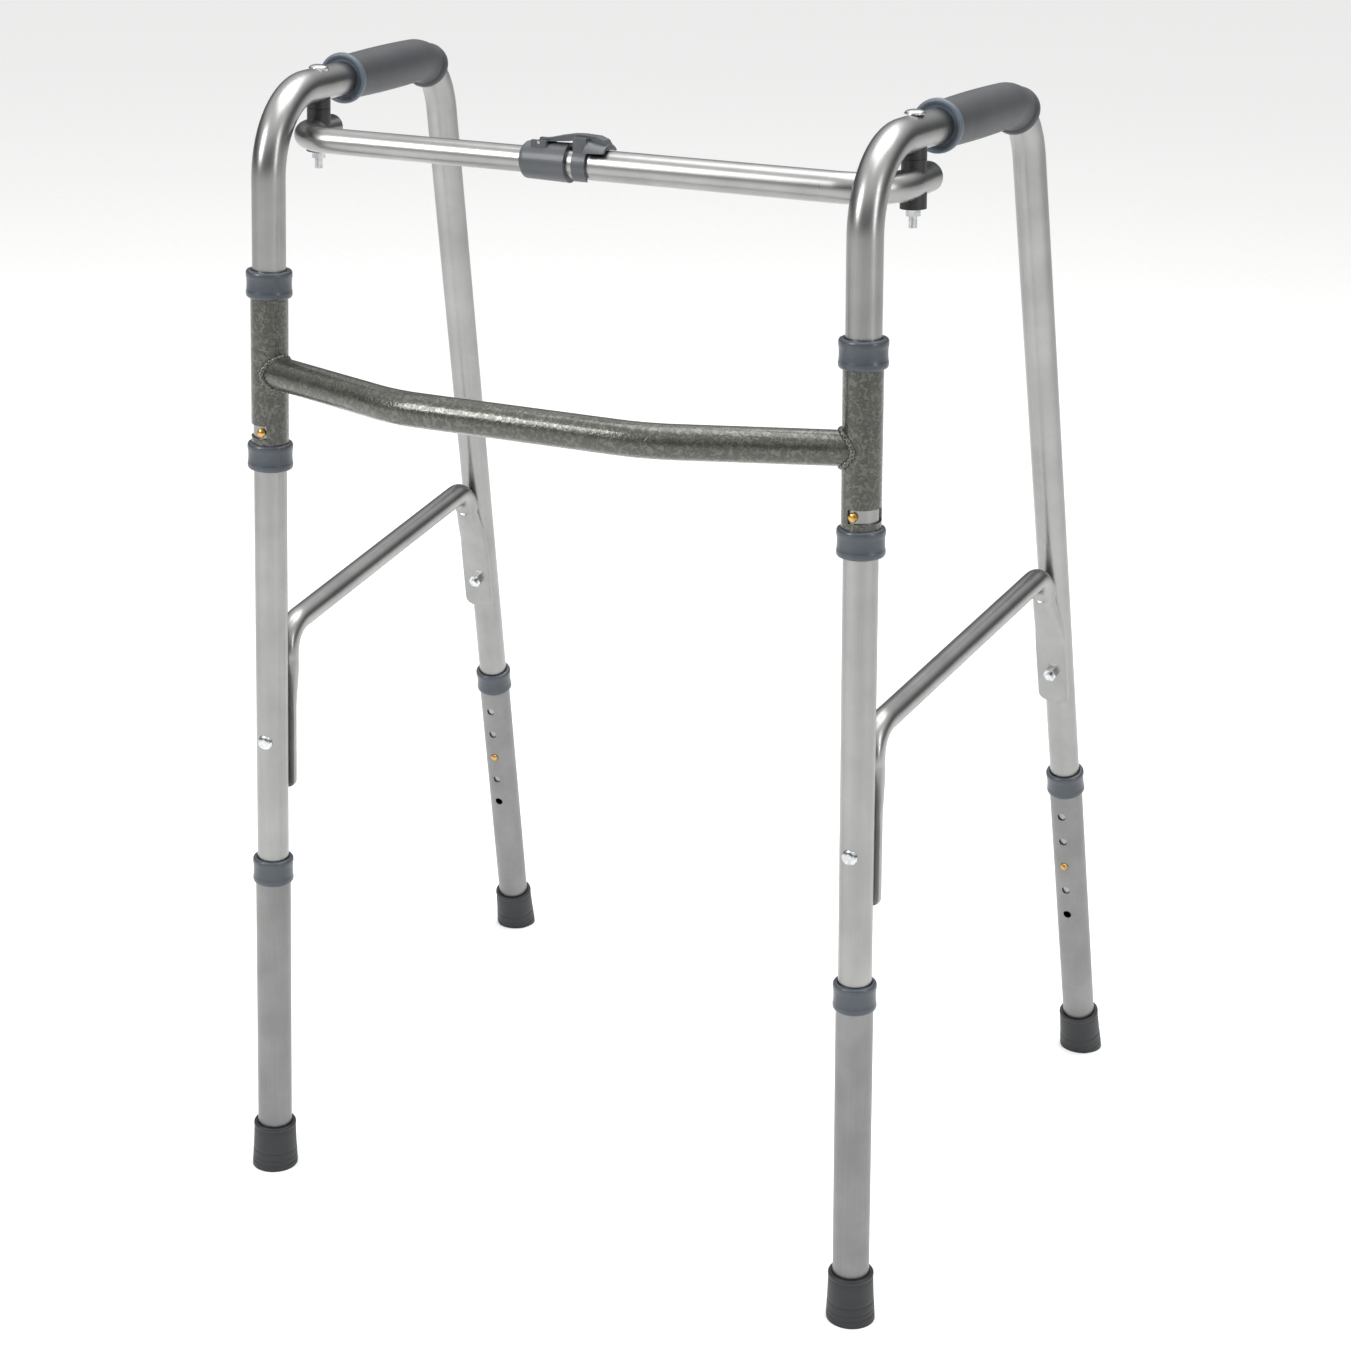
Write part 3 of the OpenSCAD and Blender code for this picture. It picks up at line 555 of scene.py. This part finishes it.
def brace_tube():
    """Side brace, in side frame coordinates. A flat tongue goes up the front leg and flares
    into a round tube, which bends over, runs to the rear and comes down the rear leg as a
    second tongue. Every change along it is a smooth step."""
    def on_circle(a):
        return np.array([math.cos(a), math.sin(a)])

    square_to_run = math.pi / 2 + BRACE_RISE
    front_bend = np.array([BRACE_CENTRE + BRACE_BEND * on_circle(a)
                           for a in np.linspace(math.pi, square_to_run, BEND_STEPS)])
    run_way = on_circle(BRACE_RISE)
    rear_centre = front_bend[-1] + BRACE_RUN * run_way - BRACE_BEND * on_circle(square_to_run)
    rear_bend = np.array([rear_centre + BRACE_BEND * on_circle(a)
                          for a in np.linspace(square_to_run, LEAN, BEND_STEPS)])
    run = front_bend[-1] + np.linspace(0.02, 0.98, 40)[:, None] * BRACE_RUN * run_way

    # front tongue: stations up the leg
    up = np.concatenate([np.linspace(345, 352, 12), np.linspace(356, 415, 12), np.linspace(418, 453, 24)])
    away = TONGUE_OFF + (BRACE_CENTRE[0] - BRACE_BEND - TONGUE_OFF) * ease((up - 412) / SLIDE)
    front = np.stack([away, up], -1)

    # rear tongue: stations down the rear leg, from where the bend ends
    y, z = rear_bend[-1]
    end_y = (y - DEPTH) * math.cos(LEAN) + z * math.sin(LEAN)
    end_s = -(y - DEPTH) * math.sin(LEAN) + z * math.cos(LEAN)
    down = np.concatenate([np.linspace(end_s - 1, end_s - 40, 26), np.linspace(end_s - 44, 402, 12),
                           np.linspace(401, 395, 12)])
    away = -TONGUE_OFF + (end_y + TONGUE_OFF) * ease(1 - (end_s - down) / SLIDE)
    back = np.stack(leg_point(down, away)[1:], -1)

    # roundness is 0 on the tongues and 1 on the tube, and becomes 1 early in each bend
    at_bend = ease((453 - 410) / FLARE)
    into_bend = at_bend + (1 - at_bend) * ease(np.arange(BEND_STEPS) / 14.0)
    round_up = ease((up - 410) / FLARE)
    round_down = ease(1 - (end_s - down) / FLARE)
    roundness = np.concatenate([round_up, into_bend, np.ones(len(run)), into_bend[::-1], round_down])
    wide = TONGUE_WIDE + (BRACE_TUBE - TONGUE_WIDE) * roundness
    thick = TONGUE_THICK + (BRACE_TUBE - TONGUE_THICK) * roundness
    square = 7.0 + (2.0 - 7.0) * roundness

    # each tongue's last 7 mm narrows as a quarter circle to under half its width
    def tip(short):
        return np.where(short > 0, np.sqrt(np.clip(1 - (short / 7.0) ** 2, 0.02, 1)), 1)

    middle = np.ones(len(roundness) - len(up) - len(down))
    wide = wide * (0.45 + 0.55 * np.concatenate([tip(352 - up), middle, tip(402 - down)]))
    yz = np.vstack([front, front_bend, run, rear_bend, back])
    path = np.column_stack([np.zeros(len(yz)), yz])
    return swept(path, wide, square, thick=thick, cols=48)


for name, s in SIDES:
    make("side_brace_tube_" + name, side(s)(brace_tube()), name + "_frame", "satin_aluminium",
         ["side_brace_" + name])


# ---------- folding bar ----------
def bar_half(radius, inner, reach):
    """One half of the bar: a straight run, a 40 mm bend back to the pivot, and an end that
    closes over 4.2 mm as the curve sqrt(1 - t^2.6)."""
    corners = [[inner, BAR_Y, BAR_Z], [PIVOT_X, BAR_Y, BAR_Z], [PIVOT_X, PIVOT_Y + reach, BAR_Z]]
    path = bent_line(corners, 40.0, 6.0, 0.05)
    t = np.linspace(0.05, 1, 14)
    radii = np.concatenate([np.full(len(path), radius), radius * np.sqrt(1 - t ** 2.6) + 0.02])
    path = np.vstack([path, path[-1] + t[:, None] * np.array([0, 4.2, 0])])
    return swept(path, radii, across=(0, 0, 1))


make("wide_bar_tube", level(1)(bar_half(11.1, -36, 30)), "thick_bar", "satin_aluminium",
     ["bar_tube_thick", "bar_cap_right"])
make("narrow_bar_tube", level(-1)(bar_half(9.5, -8, 19)), "thin_bar", "satin_aluminium",
     ["bar_tube_thin", "bar_cap_left"])

# ---------- camera ----------
AZIMUTH, ELEVATION, ROLL = (math.radians(angle) for angle in (24.037, 19.984, 1.134))
back = Vector((math.sin(AZIMUTH) * math.cos(ELEVATION), -math.cos(AZIMUTH) * math.cos(ELEVATION),
               math.sin(ELEVATION)))
level_right = (-back).cross(Vector((0, 0, 1))).normalized()
level_up = level_right.cross(-back).normalized()
right = math.cos(ROLL) * level_right + math.sin(ROLL) * level_up
up = -math.sin(ROLL) * level_right + math.cos(ROLL) * level_up
camera = bpy.data.cameras.new("camera")
camera.sensor_width = 36.0
camera.lens = 69.072
camera.shift_x = 0.0031
camera.shift_y = -0.0011
camera.clip_end = 120.0
viewer = bpy.data.objects.new("camera", camera)
turned_camera = Matrix((right, up, back)).transposed().to_4x4()
viewer.matrix_world = Matrix.Translation((0.83094, -1.87433, 1.15769)) @ turned_camera
scene.collection.objects.link(viewer)
scene.camera = viewer

# ---------- floor and light ----------
FLOOR = 40  # half its width in metres, so that its edge is far off
floor_mesh = bpy.data.meshes.new("floor")
floor_corners = [(-FLOOR, -FLOOR, 0), (FLOOR, -FLOOR, 0), (FLOOR, FLOOR, 0), (-FLOOR, FLOOR, 0)]
floor_mesh.from_pydata(floor_corners, [], [(0, 1, 2, 3)])
floor = bpy.data.objects.new("floor", floor_mesh)
scene.collection.objects.link(floor)
paper, tree, shader, place = new_material("matt white paper", Roughness=0.9)
fibre = add(tree, "ShaderNodeTexNoise", {"Vector": place, "Scale": 60.0, "Detail": 3.0})
white = add(tree, "ShaderNodeValToRGB", {"Fac": fibre}, stops=[(0.3, "#f4f4f3"), (0.7, "#f7f7f6")])
tree.links.new(white, shader.inputs["Base Color"])
floor_mesh.materials.append(paper)


def lamp(name, where, target, width, power, height):
    """A soft box: a rectangular area light turned to face a point."""
    data = bpy.data.lights.new(name, "AREA")
    data.shape, data.size, data.size_y, data.energy = "RECTANGLE", width, height, power
    obj = bpy.data.objects.new(name, data)
    away = Vector(where) - Vector(target)
    obj.matrix_world = Matrix.Translation(where) @ away.to_track_quat("Z", "Y").to_matrix().to_4x4()
    scene.collection.objects.link(obj)


lamp("front soft box", (-1.7, -2.6, 2.3), (0, 0, 0.5), 0.8, 62, 1.6)
lamp("right soft box", (2.9, -0.9, 1.6), (0, 0, 0.5), 0.5, 22, 1.8)
lamp("top soft box", (0.2, 0.4, 3.4), (0, 0, 0), 2.6, 75, 2.6)

# a studio that is bright overhead and dim at the walls, so that the tubes get soft dark edges
world = bpy.data.worlds.new("studio")
scene.world = world
world.use_nodes = True
sky = world.node_tree
direction = add(sky, "ShaderNodeTexCoord", out="Generated")
height = add(sky, "ShaderNodeSeparateXYZ", {"Vector": direction}, out="Z")
glow = add(sky, "ShaderNodeValToRGB", {"Fac": height},
           stops=[(0.0, "#3a3b3d"), (0.3, "#6c6d70"), (0.66, "#ffffff")])
background = sky.nodes["Background"]
sky.links.new(glow, background.inputs["Color"])
background.inputs["Strength"].default_value = 1.15
scene.view_settings.view_transform = "Standard"
